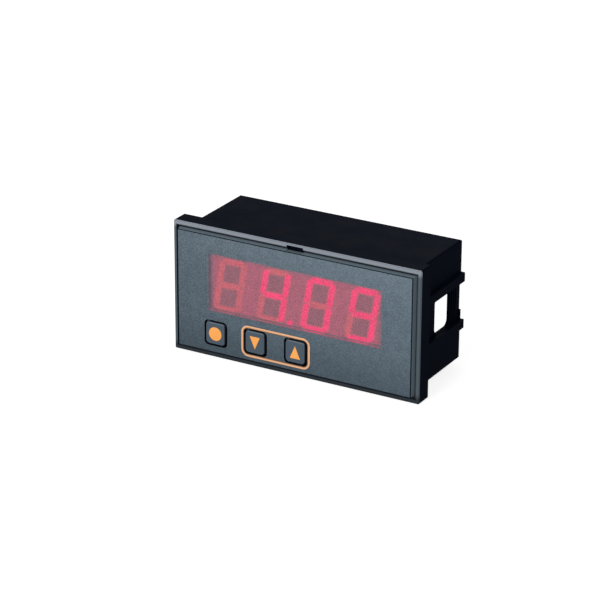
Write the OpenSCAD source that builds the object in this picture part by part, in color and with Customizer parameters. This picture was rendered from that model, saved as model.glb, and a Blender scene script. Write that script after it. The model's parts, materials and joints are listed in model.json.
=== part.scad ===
// Digital panel meter with a 96 x 48 mm front, for a 92 x 45 mm panel cut-out.
//
// The origin is the centre of the cut-out, in the plane of the panel's front, which is the
// plane of the bezel's rear face. +X is to the right seen from the front, +Y runs into the
// panel and +Z is up. Places named y_... are measured along Y from the panel's front.
//
// The case is one moulding: a bezel, a tube open at the back, and on each side two rails, a
// window and ratchet teeth for the panel clamp. The fascia clips into the bezel and carries
// the whole electronics pack, which the rear cover closes.

/* [Bezel] */
// Width of the bezel
bezel_w = 96; // [94:0.5:104]
// Height of the bezel
bezel_h = 48; // [47:0.5:54]
// Depth of the bezel in front of the panel
bezel_depth = 6.5; // [5.5:0.1:9]
// Radius of the bezel's corners
bezel_r = 0.6; // [0.3:0.1:2]
// Chamfer round the bezel's front edge
bezel_chamfer = 0.3; // [0.1:0.1:0.6]
// Flat width of the rim at the left and right
rim_side = 1.1; // [0.8:0.1:1.6]
// Flat width of the rim at the top and bottom
rim_top = 1.4; // [0.8:0.1:1.6]
// Width and depth of the slope inside the rim
rim_slope = 0.8; // [0.4:0.1:1.2]
// Depth from the rim down to the ledge that carries the fascia
seat_depth = 2.5; // [2:0.1:3]
// Width of the notch that lets a blade lever the fascia out
notch_w = 6.4; // [3:0.1:12]
// How far that notch bites into the flat of the rim
notch_bite = 0.65; // [0.2:0.05:0.7]
// Depth of that notch
notch_depth = 1.8; // [1.3:0.1:1.9]

/* [Case tube] */
// Width of the tube behind the panel
case_w = 87.7; // [84:0.1:89]
// Height of the tube
case_h = 43.7; // [41:0.1:44.4]
// Length of the tube behind the panel
case_depth = 31.2; // [28:0.1:60]
// Thickness of the tube's side walls
side_wall = 1.5; // [1.2:0.1:2]
// Thickness of the tube's top and bottom walls
top_wall = 1.8; // [1.5:0.1:2.2]
// Radius of the tube's long edges
case_r = 0.6; // [0.3:0.1:1.2]
// Radius of the rear edges at the top and bottom
rear_r = 0.5; // [0.3:0.1:1.8]

/* [Clamp rails] */
// How far a rail stands out from the side of the tube
rail_proud = 1.5; // [0.8:0.1:2]
// Height of a rail where it meets the tube
rail_t = 3.3; // [2:0.1:4]
// Fall of a rail's outer face, away from the channel
rail_fall = 0.1; // [0.1:0.1:0.9]
// Height of the channel between the two rails
rail_gap = 14; // [10:0.1:18]
// Depth of the channel below the side of the tube
channel_depth = 0.4; // [0.1:0.1:0.6]
// Distance from the panel's front to the side window
window_y = 12.6; // [10:0.1:13]
// Length of the side window
window_len = 11.2; // [8:0.1:13]
// Corner radius of the side window
window_r = 2.4; // [0.5:0.1:3]
// Step between the side window's edge and the rails
window_step = 0.1; // [0.05:0.05:1]
// Number of ratchet teeth behind each side window
tooth_count = 3; // [1:1:3]
// Spacing of the ratchet teeth
tooth_pitch = 1.45; // [1:0.05:1.6]
// Height of a ratchet tooth
tooth_h = 0.4; // [0.2:0.05:0.8]
// Distance from the side window to the first tooth
tooth_step = 0.9; // [0.1:0.1:2]
// Height of the stop at the rear end of the channel, above the lower rail
stop_h = 3.4; // [1:0.1:5]
// How far that stop stands out from the side of the tube
stop_proud = 0.2; // [0.1:0.1:0.6]
// Thickness of that stop
stop_t = 1; // [0.5:0.1:1.2]

/* [Fascia] */
// How far the fascia stands out in front of the rim
fascia_rise = 1.4; // [0.5:0.1:2.5]
// Thickness of the fascia's front wall
fascia_wall = 1.4; // [1.2:0.1:2.4]
// Thickness of the fascia's skirt
skirt_wall = 1.9; // [1.2:0.1:2]
// Gap between the fascia and the bezel
fascia_gap = 0.15; // [0.05:0.05:0.3]
// Lean of the fascia's left and right edges
lean_side = 0.6; // [0.1:0.1:1.2]
// Lean of the fascia's top and bottom edges
lean_top = 0.3; // [0.1:0.1:1]
// Thickness of the label film
label_t = 0.2; // [0.1:0.05:0.5]
// Margin between the label film and the fascia's edge
label_inset = 0.1; // [0.05:0.05:1]

/* [Display] */
// Width of the display window
view_w = 68.3; // [66:0.1:72]
// Height of the display window
view_h = 21.6; // [20.5:0.1:22.4]
// Height of the display window's centre above the middle of the front
view_z = 4.3; // [3.8:0.1:4.8]
// Gap round the display filter
filter_gap = 0.05; // [0.05:0.05:0.3]
// Width of the filter's lips behind the fascia, at the left and right
filter_lip = 1; // [0.5:0.1:1.4]
// Thickness of the filter's lips
filter_lip_t = 0.6; // [0.5:0.1:1.5]
// Height of a digit
digit_h = 20; // [16:0.1:20.4]
// Width of a digit
digit_w = 10.7; // [8:0.1:12]
// Spacing of the digits
digit_pitch = 17.2; // [16:0.1:17.4]
// Height of the digits' centre above the middle of the front
digit_z = 3.4; // [3:0.1:4]
// Lean of the digits in degrees
digit_lean = 9.5; // [0:0.5:12]
// Width of a segment
segment_t = 2.1; // [1.4:0.1:2.6]
// Gap between two segments
segment_gap = 0.3; // [0.1:0.05:0.6]
// Diameter of a decimal point
point_d = 2.2; // [1.2:0.1:2.4]
// Gap between a digit's lower right corner and its decimal point
point_gap = 1.3; // [0.3:0.1:1.4]
// Depth of a digit module
digit_depth = 7; // [6:0.1:8]
// Height of a digit module's housing
digit_body_h = 23.8; // [23:0.1:24.2]
// Gap between the filter and the digits
digit_clear = 0.1; // [0.1:0.1:0.6]
// Gap between two digit modules
digit_side_clear = 0.1; // [0.05:0.05:0.3]
// Segments that are lit on the four digits, with p for the decimal point
lit = ["", "bcfgp", "abcdef", "abcdfg"];

/* [Keys] */
// Width of a key opening
key_hole_w = 9.2; // [8:0.1:10]
// Height of a key opening
key_hole_h = 9.5; // [8.5:0.1:9.6]
// Corner radius of a key opening
key_hole_r = 1.7; // [1:0.1:2.5]
// Gap between a key and the edge of its opening
key_gap = 0.75; // [0.4:0.05:1]
// How far a key stands out in front of the label
key_proud = 0.4; // [0.1:0.1:1.5]
// Radius of the edge of a key's face
key_edge = 0.5; // [0.2:0.1:0.8]
// Travel of a key
key_travel = 0.5; // [0.2:0.05:0.8]
// Spacing of the keys
key_pitch = 15.85; // [14.5:0.05:18]
// Distance of the first key from the middle of the front
key_left = 30.3; // [29:0.1:30.5]
// How far the keys sit below the middle of the band under the window
key_low = 0.425; // [0:0.025:0.7]
// Width of the ears that hold a key behind the fascia
ear_w = 0.8; // [0.5:0.1:1]
// Thickness of those ears
ear_t = 0.9; // [0.6:0.1:1.2]
// Running gap beside the ears
ear_gap = 0.1; // [0.05:0.05:0.2]
// Thickness of the ribs that guide a key
guide_wall = 0.8; // [0.6:0.1:1.2]
// Diameter of the round mark
mark_d = 5; // [2:0.1:5.5]
// Width of the triangular marks
mark_w = 4; // [2:0.1:5]
// Height of the triangular marks
mark_h = 4.6; // [2:0.1:5]
// Width of the printed line round the last two keys
frame_line = 0.95; // [0.3:0.05:1.1]
// Thickness of the printed marks
print_t = 0.06; // [0.04:0.01:0.1]

/* [Electronics] */
// Thickness of both circuit boards
board_t = 1.6; // [1:0.1:2]
// Side of a key switch
switch_w = 6; // [5:0.1:6.6]
// Depth of a key switch without its plunger
switch_depth = 3.5; // [2.5:0.1:4]
// Diameter of a switch plunger
plunger_d = 3.4; // [2.5:0.1:3.8]
// How far a plunger stands out of its switch
plunger_proud = 1.5; // [1:0.1:1.9]
// Side of the controller chip
chip_w = 10; // [5:0.5:12]
// Thickness of the controller chip
chip_t = 1.4; // [0.8:0.1:2]
// Width of the power transformer
transformer_w = 22; // [16:0.5:24]
// Height of the power transformer
transformer_h = 18; // [12:0.5:18]
// Depth of the power transformer
transformer_depth = 12.4; // [8:0.1:12.6]
// Diameter of the filter capacitor
capacitor_d = 8; // [5:0.5:8.5]
// Length of the filter capacitor
capacitor_len = 11.5; // [6:0.5:12.5]
// Width of the output relay
relay_w = 18.4; // [14:0.1:20]
// Height of the output relay
relay_h = 10.2; // [8:0.1:12]
// Depth of the output relay
relay_depth = 12; // [8:0.1:12.5]
// Depth of the socket that joins the boards
socket_depth = 8.5; // [5:0.5:9]
// Terminals on each of the two blocks
ways = 5; // [2:1:5]
// Spacing of the terminals
terminal_pitch = 5.08; // [5:0.01:5.08]
// Height of a terminal block
block_h = 15; // [13.5:0.1:16]
// Depth of a terminal block
block_depth = 10.4; // [9:0.1:11]
// Length of the rear cover's box behind the terminal blocks' faces
block_proud = 0.8; // [0.2:0.1:2]
// Distance from the terminal faces to the rear edge of the case
block_recess = 0.8; // [0.2:0.1:3]
// Wall of the rear cover
cover_wall = 1.5; // [1.2:0.1:2]
// Thickness of the rear cover's flange
cover_flange_t = 1.4; // [1:0.1:2]
// Height of the rear cover's box
cover_h = 34; // [32:0.1:34.4]
// Room at each end of the terminal blocks, which holds the board bosses
cover_end = 5.6; // [5.5:0.1:6.4]

/* [Hidden] */
$fn = 48;

// Allowance by which a cutting solid passes the face that it cuts.
over = 1;
// Depth by which a rib or post is rooted in the wall that carries it.
root = 0.5;
// Room between parts that are assembled by hand.
loose = 0.25;
// Radial clearance of a pin, screw or plunger in its hole.
pin_gap = 0.1;
// Radial clearance of a screw's shank in its pilot hole.
thread_gap = 0.02;

// Bezel and its opening.
y_front = -bezel_depth;
y_seat = y_front + seat_depth;
open_w = bezel_w - 2 * (rim_side + rim_slope);
open_h = bezel_h - 2 * (rim_top + rim_slope);
y_slope = y_front + rim_slope;

// Tube.
bore_w = case_w - 2 * side_wall;
bore_h = case_h - 2 * top_wall;
bore_r = 1;
channel_x = case_w / 2 - channel_depth;
window_h = rail_gap - 2 * window_step;
tooth_first = window_y + window_len + tooth_step;
tooth_len = rail_gap - 1;

// Fascia, from the front backwards.
y_face = y_front - fascia_rise;
y_label = y_face - label_t;
y_wall = y_face + fascia_wall;
fascia_w = open_w - 2 * fascia_gap;
fascia_h = open_h - 2 * fascia_gap;
face_w = fascia_w - 2 * lean_side;
face_h = fascia_h - 2 * lean_top;

// Digit modules and the display board.
y_digit = y_wall + filter_lip_t + digit_clear;
y_board = y_digit + digit_depth;
y_board_rear = y_board + board_t;
digits = len(lit);
digit_body_w = digit_pitch - digit_side_clear;
pocket_depth = 1;
pins_per_row = 5;
pin_pitch = 2.54;
pin_inset = 1.5;
digit_pin_d = 0.6;
pin_tail = 1.2;
point_rise = 1.3;
point_z = point_rise - digit_h / 2;
point_x = digit_w / 2 + point_z * tan(digit_lean) + point_gap + point_d / 2;

// Keys and their switches.
y_key = y_label - key_proud;
key_w = key_hole_w - 2 * key_gap;
key_h = key_hole_h - 2 * key_gap;
key_r = key_hole_r - key_gap / 2;
y_ear = y_wall + 0.05;
key_stem_d = plunger_d + 0.4;
edge_steps = 4;
y_switch = y_board - switch_depth;
y_plunger = y_switch - plunger_proud;
plunger_in = 0.9;
key_drop = (face_h / 2 + view_h / 2 - view_z) / 2 + key_low;
ear_span = key_w + 2 * (key_gap + ear_w);
guide_w = ear_span + 2 * ear_gap;
guide_len = ear_t + key_travel + 0.3;

// Posts, hooks and sleeves that hold the pack together.
post_d = 5.6;
post_pin_d = 4.2;
sleeve_d = 6.4;
post_x = bore_w / 2 - sleeve_d / 2 - loose;
post_z = 14;
hook_w = 5;
hook_t = 1.2;
hook_x = bore_w / 2 - hook_w / 2 - 0.9;
hook_z = bore_h / 2 - fascia_gap;
hook_y = 2.6;
hook_len = 2;
hook_catch = 0.6;
groove_gap = 0.1;
groove_depth = hook_catch + fascia_gap + groove_gap;

// Rear cover, main board and terminals.
y_cover = window_y - 0.2 - cover_flange_t;
y_block_rear = case_depth - block_recess;
y_box_rear = y_block_rear - block_proud;
y_box_wall = y_box_rear - cover_wall;
y_main_rear = y_block_rear - block_depth;
y_main = y_main_rear - board_t;
block_w = ways * terminal_pitch;
block_gap = 1.2;
block_x = (block_w + block_gap) / 2;
cut_w = 2 * block_w + block_gap + 2 * loose;
cut_h = block_h + 2 * loose;
box_in_w = cut_w + 2 * cover_end;
box_in_h = cover_h - 2 * cover_wall;
box_w = box_in_w + 2 * cover_wall;
board_w = bore_w - 1.8;
board_h = 2 * (hook_z - hook_t - 2 * loose);
main_w = box_in_w - 2 * loose;
main_h = box_in_h - 2 * loose;
flange_w = bore_w - 2 * loose;
flange_h = bore_h - 4 * loose;
boss_d = 5;
boss_x = box_in_w / 2 - boss_d / 2 - loose;
boss_z = box_in_h / 2 - boss_d / 2 - loose;
screw_d = 2.5;
screw_len = 7;
screw_head_d = 4.8;
screw_head_t = 1.5;
cross_w = 2.6;
cross_depth = 0.8;
slot_w = 0.6;

// Terminals.
terminal_pin_d = 1;
terminal_pin_z = 2.3 - block_h / 2;
funnel_w = terminal_pitch - 1.3;
funnel_h = 4.4;
funnel_z = -3.4;
funnel_depth = 6;
driver_d = 3.9;
driver_z = 3.5;
driver_depth = 4.5;
terminal_screw_len = 2;
clamp_wall = 0.5;
clamp_len = funnel_depth / 2;
block_step = 1.2;

// Parts on the front of the main board.
edge_room = 0.5;
transformer_x = (boss_d - main_w + transformer_w) / 2 + boss_d;
transformer_z = (main_h - transformer_h) / 2 - edge_room;
relay_x = (main_w - relay_w) / 2 - 2 * edge_room;
relay_z = boss_z - (screw_head_d + relay_h) / 2 - edge_room;
capacitor_z = main_h / 2 - capacitor_d;
capacitor_bead = 0.5;

// Connector between the boards, level with the gap between the digits and the switches.
link_ways = 8;
link_w = link_ways * pin_pitch;
link_t = 2.5;
link_x = 14;
link_z = (digit_z - digit_body_h / 2 - key_drop + switch_w / 2) / 2;
link_pin_d = 0.66;
link_pin_reach = socket_depth / 2;
link_hole_depth = link_pin_reach + 0.6;

// Colours.
moulding = [0.075, 0.085, 0.1];
film = [0.36, 0.4, 0.44];
tint = [0.6, 0.2, 0.25, 0.45];
orange = [0.98, 0.62, 0.28];
bright = [1, 0.2, 0.4];
dull = [0.7, 0.26, 0.28];
metal = [0.75, 0.76, 0.78];
laminate = [0.1, 0.36, 0.2];

// ---- Drawing aids ----------------------------------------------------------------------

// Rectangle w by h about the origin, with corners of radius r.
module round_rect(w, h, r) {
    square([w - 2 * r, h], center = true);
    square([w, h - 2 * r], center = true);
    for (x = [-1, 1], z = [-1, 1])
        translate([x * (w / 2 - r), z * (h / 2 - r)])
            circle(r);
}

// Stands a drawing made in x and z upright, and fills it from y0 to y1.
module slab(y0, y1) {
    translate([0, y1, 0])
        rotate([90, 0, 0])
            linear_extrude(y1 - y0)
                children();
}

// Runs a drawing made in y and z sideways, from x0 to x1.
module across(x0, x1) {
    translate([x0, 0, 0])
        rotate([90, 0, 90])
            linear_extrude(x1 - x0)
                children();
}

// Round bar along Y from y0 to y1.
module bar(d, y0, y1) {
    translate([0, y1, 0])
        rotate([90, 0, 0])
            cylinder(d = d, h = y1 - y0);
}

// Swaps the two coordinates of every point, which turns a plan into a side view.
function swap(points) = [for (p = points) [p[1], p[0]]];

// Children at the four places (+-x, +-z).
module at_corners(x, z) {
    for (sx = [-1, 1], sz = [-1, 1])
        translate([sx * x, 0, sz * z])
            children();
}

// Body whose plan and side view are outlines that depend on its width and height.
module from_two_views(plan, side, w, h) {
    intersection() {
        linear_extrude(h + 2 * over, center = true)
            polygon(plan);
        across(-w / 2 - over, w / 2 + over)
            polygon(swap(side));
    }
}

// ---- Case ------------------------------------------------------------------------------

// Outline of the bezel across one size, with the chamfered front edge.
function bezel_outline(w) = [
    [-w / 2, 0],
    [w / 2, 0],
    [w / 2, y_front + bezel_chamfer],
    [w / 2 - bezel_chamfer, y_front],
    [bezel_chamfer - w / 2, y_front],
    [-w / 2, y_front + bezel_chamfer]
];

// Outline of the sloping mouth of the bezel across one size.
function mouth_outline(w) = [
    [-w / 2, y_slope],
    [w / 2, y_slope],
    [w / 2 + rim_slope + over, y_front - over],
    [-w / 2 - rim_slope - over, y_front - over]
];

module bezel() {
    intersection() {
        from_two_views(bezel_outline(bezel_w), bezel_outline(bezel_h), bezel_w, bezel_h);
        slab(y_front - over, over)
            round_rect(bezel_w, bezel_h, bezel_r);
    }
}

// The tube's walls with their rounded rear edges, the rails and the channel between them.
module tube() {
    intersection() {
        slab(-root, case_depth)
            round_rect(case_w, case_h, case_r);
        across(-case_w, case_w)
            translate([case_depth / 2 - over, 0])
                round_rect(case_depth + 2 * over, case_h, rear_r);
    }
    for (side = [-1, 1], z = [-1, 1])
        scale([side, 1, z])
            slab(-root, case_depth)
                rail_section();
}

// Section of the upper right rail.
module rail_section() {
    outer = case_w / 2 + rail_proud;
    low = rail_gap / 2;
    polygon([
        [channel_x, low],
        [outer, low],
        [outer, low + rail_t - rail_fall],
        [case_w / 2, low + rail_t],
        [channel_x, low + rail_t]
    ]);
}

// Channel between the rails on the right, which is also cut through by the side window.
module channel_cut() {
    translate([channel_x, 0, -rail_gap / 2])
        cube([channel_depth + over, case_depth + over, rail_gap]);
    across(bore_w / 2 - over, case_w / 2 + over)
        translate([window_y + window_len / 2, 0])
            round_rect(window_len, window_h, window_r);
}

// Ratchet teeth behind the right window, steep towards the panel.
module teeth() {
    for (i = [0 : tooth_count - 1])
        translate([channel_x, tooth_first + i * tooth_pitch, -tooth_len / 2])
            linear_extrude(tooth_len)
                polygon([
                    [-root / 2, 0],
                    [tooth_h, 0.1],
                    [tooth_h, tooth_pitch * 0.4],
                    [-root / 2, tooth_pitch * 0.95]
                ]);
}

// Stop in the lower part of the right channel, at its rear end.
module channel_stop() {
    translate([channel_x - root / 2, case_depth - stop_t, -rail_gap / 2 - root / 2])
        cube([root / 2 + channel_depth + stop_proud, stop_t, root / 2 + stop_h]);
}

module case() {
    color(moulding) {
        difference() {
            union() {
                bezel();
                difference() {
                    tube();
                    for (side = [0, 1])
                        mirror([side, 0, 0])
                            channel_cut();
                }
            }
            slab(y_seat, case_depth + over)
                round_rect(bore_w, bore_h, bore_r);
            slab(y_front - over, y_seat)
                square([open_w, open_h], center = true);
            from_two_views(mouth_outline(open_w), mouth_outline(open_h), bezel_w, bezel_h);
            lever_notch();
            at_corners(hook_x, bore_h / 2)
                groove();
        }
        for (side = [0, 1])
            mirror([side, 0, 0]) {
                teeth();
                channel_stop();
            }
    }
}

// Notch at the top of the front, shared by the rim and the fascia's edge.
module lever_notch() {
    z0 = face_h / 2 + 0.05;
    z1 = bezel_h / 2 - rim_top + notch_bite;
    translate([-notch_w / 2, y_front - fascia_rise - over, z0])
        cube([notch_w, fascia_rise + over + notch_depth, z1 - z0]);
}

// Groove in the tube's wall that the fascia's hook snaps into.
module groove() {
    translate([-hook_w / 2 - loose, hook_y - groove_gap, -groove_depth])
        cube([hook_w + 2 * loose, hook_len + 2 * groove_gap, 2 * groove_depth]);
}

// ---- Fascia ----------------------------------------------------------------------------

// Outline of the fascia across one size, with the edge leaning in by lean.
function fascia_outline(w, lean) = [
    [-w / 2, y_seat],
    [w / 2, y_seat],
    [w / 2, y_slope],
    [w / 2 - lean, y_face],
    [lean - w / 2, y_face],
    [-w / 2, y_slope]
];

// Children at each key's centre.
module at_keys() {
    for (i = [0 : 2])
        at_key(i)
            children();
}

module at_key(i) {
    translate([i * key_pitch - key_left, 0, -key_drop])
        children();
}

module fascia() {
    color(moulding) {
        difference() {
            union() {
                fascia_shell();
                at_keys()
                    for (side = [-1, 1])
                        translate([side * (guide_w + guide_wall) / 2, 0, 0])
                            slab(y_wall - root, y_wall + guide_len)
                                square([guide_wall, key_h], center = true);
            }
            at_keys()
                slab(y_face - over, y_wall + over)
                    round_rect(key_hole_w, key_hole_h, key_hole_r);
            translate([0, 0, view_z])
                slab(y_face - over, y_wall + over)
                    square([view_w, view_h], center = true);
            lever_notch();
        }
        at_corners(post_x, post_z)
            post();
        for (z = [0, 1])
            mirror([0, 0, z])
                for (side = [-1, 1])
                    translate([side * hook_x, 0, 0])
                        hook();
    }
}

module fascia_shell() {
    difference() {
        from_two_views(
            fascia_outline(fascia_w, lean_side),
            fascia_outline(fascia_h, lean_top),
            fascia_w,
            fascia_h
        );
        slab(y_wall, y_seat + over)
            square([fascia_w - 2 * skirt_wall, fascia_h - 2 * skirt_wall], center = true);
    }
}

// Post with a shoulder for the display board and a pilot hole for a cover screw.
module post() {
    difference() {
        union() {
            bar(post_d, y_wall - root, y_board);
            bar(post_pin_d, y_board - root, y_cover - pin_gap);
        }
        bar(screw_d + 2 * thread_gap, y_cover - screw_len, y_cover);
    }
}

// Upper hook at x = 0, an arm with a barb that snaps into the tube's groove.
module hook() {
    across(-hook_w / 2, hook_w / 2)
        polygon([
            [y_wall - root, hook_z - hook_t],
            [hook_y + hook_len, hook_z - hook_t],
            [hook_y + hook_len, hook_z],
            [hook_y, hook_z + hook_catch],
            [hook_y, hook_z],
            [y_wall - root, hook_z]
        ]);
}

module front_label() {
    color(film)
        slab(y_label, y_face)
            difference() {
                square([face_w - 2 * label_inset, face_h - 2 * label_inset], center = true);
                translate([0, view_z])
                    square([view_w, view_h], center = true);
                for (i = [0 : 2])
                    translate([i * key_pitch - key_left, -key_drop])
                        round_rect(key_hole_w, key_hole_h, key_hole_r);
            }
}

module display_filter() {
    color(tint)
        translate([0, 0, view_z]) {
            slab(y_label, y_wall + filter_lip_t)
                square([view_w - 2 * filter_gap, view_h - 2 * filter_gap], center = true);
            slab(y_wall, y_wall + filter_lip_t)
                square([view_w + 2 * filter_lip, view_h - 2 * filter_gap], center = true);
        }
}

// Printed line round the last two keys.
module key_outline() {
    color(orange)
        translate([1.5 * key_pitch - key_left, 0, -key_drop])
            slab(y_label - print_t, y_label)
                difference() {
                    round_rect(
                        key_pitch + key_hole_w + 2 * frame_line,
                        key_hole_h + 2 * frame_line,
                        key_hole_r + frame_line
                    );
                    round_rect(key_pitch + key_hole_w, key_hole_h, key_hole_r);
                }
}

// ---- Keys ------------------------------------------------------------------------------

// Cap of key i: a rounded face, ears behind the fascia, and a stem that meets the plunger.
module key_cap(i) {
    color(moulding)
        at_key(i) {
            hull()
                for (step = [0 : edge_steps])
                    slab(y_key + key_edge * (1 - cos(90 * step / edge_steps)), y_key + key_edge)
                        key_outline_2d(key_edge * (1 - sin(90 * step / edge_steps)), 32);
            slab(y_key + key_edge, y_ear + ear_t)
                key_outline_2d(0, 48);
            slab(y_ear, y_ear + ear_t)
                square([ear_span, key_h], center = true);
            bar(key_stem_d, y_ear, y_plunger);
        }
}

// Outline of a key, drawn in by inset, with corners of fn facets.
module key_outline_2d(inset, fn) {
    round_rect(key_w - 2 * inset, key_h - 2 * inset, key_r - inset / 2, $fn = fn);
}

// Printed mark of key i: a disc, a triangle pointing down and one pointing up.
module key_icon(i) {
    color(orange)
        at_key(i)
            slab(y_key - print_t, y_key)
                if (i == 0)
                    circle(d = mark_d);
                else
                    mirror([0, i == 1 ? 1 : 0])
                        polygon([[-mark_w / 2, -mark_h / 2], [mark_w / 2, -mark_h / 2], [0, mark_h / 2]]);
}

module switch_body(i) {
    color("dimgray")
        at_key(i)
            difference() {
                slab(y_switch, y_board)
                    round_rect(switch_w, switch_w, 0.5);
                bar(plunger_d + 2 * pin_gap, y_switch - over, y_switch + plunger_in + key_travel + pin_gap);
            }
}

module switch_plunger(i) {
    color("ivory")
        at_key(i)
            bar(plunger_d, y_plunger, y_switch + plunger_in);
}

// ---- Digits ----------------------------------------------------------------------------

half_w = digit_w / 2;
half_h = digit_h / 2;
cut = segment_t * 0.7;
slit = segment_gap / 2;

// Top segment, with both outer corners cut off and mitred ends.
top_segment = [
    [half_w - segment_t - slit, half_h - segment_t],
    [half_w - (cut + slit) / 2, half_h - (cut - slit) / 2],
    [half_w - cut, half_h],
    [cut - half_w, half_h],
    [(cut + slit) / 2 - half_w, half_h - (cut - slit) / 2],
    [segment_t + slit - half_w, half_h - segment_t]
];

// Upper right segment.
side_segment = [
    [half_w - segment_t, half_h - segment_t - slit],
    [half_w - (cut - slit) / 2, half_h - (cut + slit) / 2],
    [half_w, half_h - cut],
    [half_w, slit],
    [half_w - segment_t / 2, slit],
    [half_w - segment_t, segment_t / 2 + slit]
];

// Middle segment, pointed at both ends.
middle_segment = [
    [segment_t / 2 + 2 * slit - half_w, 0],
    [segment_t + 2 * slit - half_w, segment_t / 2],
    [half_w - segment_t - 2 * slit, segment_t / 2],
    [half_w - segment_t / 2 - 2 * slit, 0],
    [half_w - segment_t - 2 * slit, -segment_t / 2],
    [segment_t + 2 * slit - half_w, -segment_t / 2]
];

// Points flipped to another quarter of the digit.
function flip(points, sx, sz) = [for (p = points) [sx * p[0], sz * p[1]]];

// Outline of the segment with this letter on an upright digit.
function segment(letter) =
    letter == "a" ? top_segment
    : letter == "b" ? side_segment
    : letter == "c" ? flip(side_segment, 1, -1)
    : letter == "d" ? flip(top_segment, 1, -1)
    : letter == "e" ? flip(side_segment, -1, -1)
    : letter == "f" ? flip(side_segment, -1, 1)
    : middle_segment;

// Leans points to the right the higher they are.
function lean(points) = [for (p = points) [p[0] + p[1] * tan(digit_lean), p[1]]];

// The drawing of the segments named by letters, with p for the decimal point.
module segments_2d(letters) {
    for (letter = letters)
        if (letter == "p")
            translate([point_x, point_z])
                circle(d = point_d);
        else
            polygon(lean(segment(letter)));
}

// Letters of all segments that are lit or, with state false, of all that are not.
function letters(i, state) = [
    for (letter = "abcdefgp") if ((len(search(letter, lit[i])) > 0) == state) letter
];

// Children at the centre of digit i.
module at_digit(i) {
    translate([(i - (digits - 1) / 2) * digit_pitch, 0, digit_z])
        children();
}

module digit_housing(i) {
    color(dull)
        at_digit(i)
            difference() {
                slab(y_digit, y_board)
                    square([digit_body_w, digit_body_h], center = true);
                slab(y_digit - over, y_digit + pocket_depth)
                    segments_2d("abcdefgp");
            }
}

module digit_segments(i, state) {
    color(state ? bright : dull)
        at_digit(i)
            slab(y_digit, y_digit + pocket_depth)
                segments_2d(letters(i, state));
}

// Round pins of all digits, or with a larger d the holes for them.
module digit_pin_set(d, y0, y1) {
    for (i = [0 : digits - 1], k = [0 : pins_per_row - 1], row = [-1, 1])
        at_digit(i)
            translate([(k - (pins_per_row - 1) / 2) * pin_pitch, 0, row * (digit_body_h / 2 - pin_inset)])
                bar(d, y0, y1);
}

module digit_pins() {
    color(metal)
        digit_pin_set(digit_pin_d, y_board, y_board_rear + pin_tail);
}

// ---- Electronics -----------------------------------------------------------------------

// Round pins of the board connector, or with a larger d the holes for them.
module link_pin_set(d, y0, y1) {
    for (k = [0 : link_ways - 1])
        translate([link_x + (k - (link_ways - 1) / 2) * pin_pitch, 0, link_z])
            bar(d, y0, y1);
}

module display_board() {
    color(laminate)
        difference() {
            slab(y_board, y_board_rear)
                square([board_w, board_h], center = true);
            at_corners(post_x, post_z)
                bar(post_pin_d + 2 * loose, y_board - over, y_board_rear + over);
            digit_pin_set(digit_pin_d + 2 * pin_gap, y_board - over, y_board_rear + over);
            link_pin_set(link_pin_d + 2 * pin_gap, y_board - over, y_board_rear + over);
        }
}

module controller_chip() {
    color("black")
        translate([-1.2 * digit_pitch, 0, digit_z])
            slab(y_board_rear, y_board_rear + chip_t)
                square([chip_w, chip_w], center = true);
}

module link_header() {
    color("black")
        difference() {
            translate([link_x, 0, link_z])
                slab(y_board_rear, y_board_rear + link_t)
                    square([link_w, link_t], center = true);
            link_pin_set(link_pin_d + 2 * thread_gap, y_board_rear - over, y_board_rear + link_t + over);
        }
}

module link_pins() {
    color(metal)
        link_pin_set(link_pin_d, y_board - pin_tail, y_main - socket_depth + link_pin_reach);
}

module link_socket() {
    color("black")
        difference() {
            translate([link_x, 0, link_z])
                slab(y_main - socket_depth, y_main)
                    square([link_w, link_t], center = true);
            link_pin_set(
                link_pin_d + 2 * thread_gap,
                y_main - socket_depth - over,
                y_main - socket_depth + link_hole_depth
            );
        }
}

// Children at each terminal's centre, from the left.
module at_terminals() {
    for (side = [-1, 1])
        translate([side * block_x, 0, 0])
            at_ways()
                children();
}

module at_ways() {
    for (k = [0 : ways - 1])
        translate([(k - (ways - 1) / 2) * terminal_pitch, 0, 0])
            children();
}

module main_board() {
    color(laminate)
        difference() {
            slab(y_main, y_main_rear)
                square([main_w, main_h], center = true);
            at_corners(boss_x, boss_z)
                bar(screw_d + 2 * loose, y_main - over, y_main_rear + over);
            terminal_pin_set(terminal_pin_d + 2 * pin_gap, y_main - over, y_main_rear + over);
        }
}

// Pan-head screw along Y with its head's seat at y = 0 and its tip towards +Y.
module screw() {
    translate([0, -screw_head_t, 0])
        rotate([-90, 0, 0])
            difference() {
                rotate_extrude()
                    polygon([
                        [0, 0],
                        [screw_head_d * 0.36, 0],
                        [screw_head_d / 2, screw_head_t * 0.6],
                        [screw_head_d / 2, screw_head_t],
                        [screw_d / 2, screw_head_t],
                        [screw_d / 2, screw_head_t + screw_len - 1.8],
                        [0, screw_head_t + screw_len - 0.8]
                    ]);
                for (turn = [0, 90])
                    rotate([0, 0, turn])
                        translate([-cross_w / 2, -slot_w / 2, -over])
                            cube([cross_w, slot_w, over + cross_depth]);
            }
}

module board_screws() {
    color(metal)
        at_corners(boss_x, boss_z)
            translate([0, y_main, 0])
                screw();
}

module cover_screws() {
    color(metal)
        at_corners(post_x, post_z)
            translate([0, y_cover + cover_flange_t, 0])
                rotate([0, 0, 180])
                    screw();
}

module power_transformer() {
    color("dimgray")
        translate([transformer_x, 0, transformer_z])
            slab(y_main - transformer_depth, y_main)
                round_rect(transformer_w, transformer_h, 1);
}

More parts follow.
